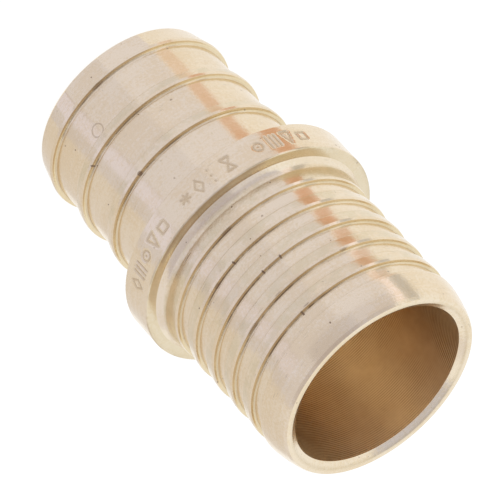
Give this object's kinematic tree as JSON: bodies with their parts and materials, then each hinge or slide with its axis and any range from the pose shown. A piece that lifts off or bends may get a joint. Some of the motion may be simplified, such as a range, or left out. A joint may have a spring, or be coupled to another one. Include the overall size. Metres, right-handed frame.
{
  "type": "barbed pipe coupling",
  "caption": "Straight turned metal coupling for plastic pipe: a stop collar between a wider, closely ribbed spigot and a narrower, widely ribbed one, with a plain bore right through.",
  "frame": {"origin": "centre of the narrower spigot's end face, which the coupling stands on", "axes": "+Z along the bore, from the narrower spigot's end to the wider spigot's end; X and Y are alike because the part is round"},
  "size_m": [0.0272, 0.0272, 0.0448],
  "materials": {
    "turned_brass": "bright turned, lightly tarnished in the grooves"
  },
  "bodies": {
    "root": {"coupling_body": "turned_brass"}
  },
  "joints": []
}
